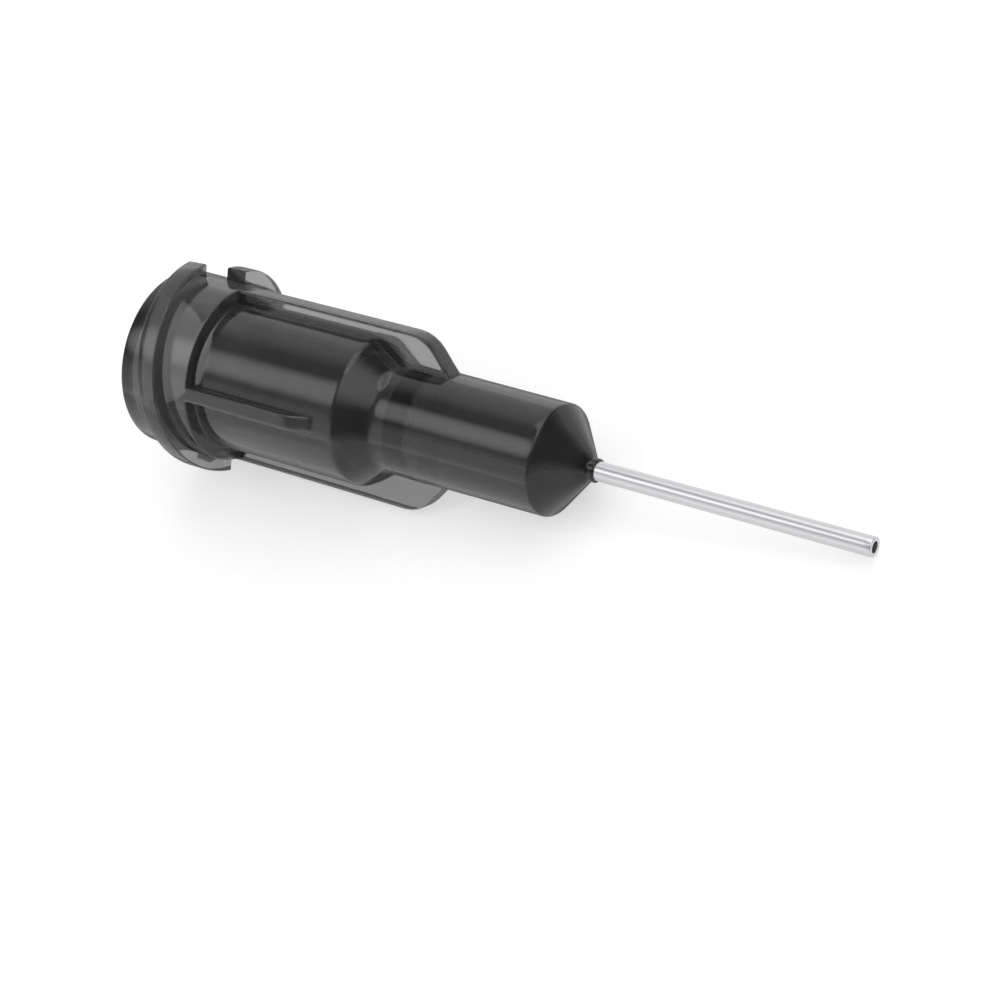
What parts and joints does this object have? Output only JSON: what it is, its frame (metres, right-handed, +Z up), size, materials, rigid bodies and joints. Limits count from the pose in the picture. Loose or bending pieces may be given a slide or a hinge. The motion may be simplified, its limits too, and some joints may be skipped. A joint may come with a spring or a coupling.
{
  "type": "dispensing needle tip",
  "caption": "Blunt dispensing needle tip: a smoke-dark moulded hub with a female luer lock end, stiffening fins and a stepped nozzle that carries a thin stainless steel tube.",
  "frame": {"origin": "on the table under the middle of the part's bounding box, the part lying as it comes to rest", "axes": "+X along the part from the luer mouth towards the needle's tip, the nose dropped by 6.5 degrees; +Z up from the table; +Y completes the right-handed frame"},
  "size_m": [0.0306, 0.0078, 0.0079],
  "materials": {
    "smoke_plastic": "translucent smoke-black moulded polypropylene",
    "stainless": "bright drawn stainless steel"
  },
  "bodies": {
    "root": {"hub": "smoke_plastic", "needle_tube": "stainless"}
  },
  "joints": []
}
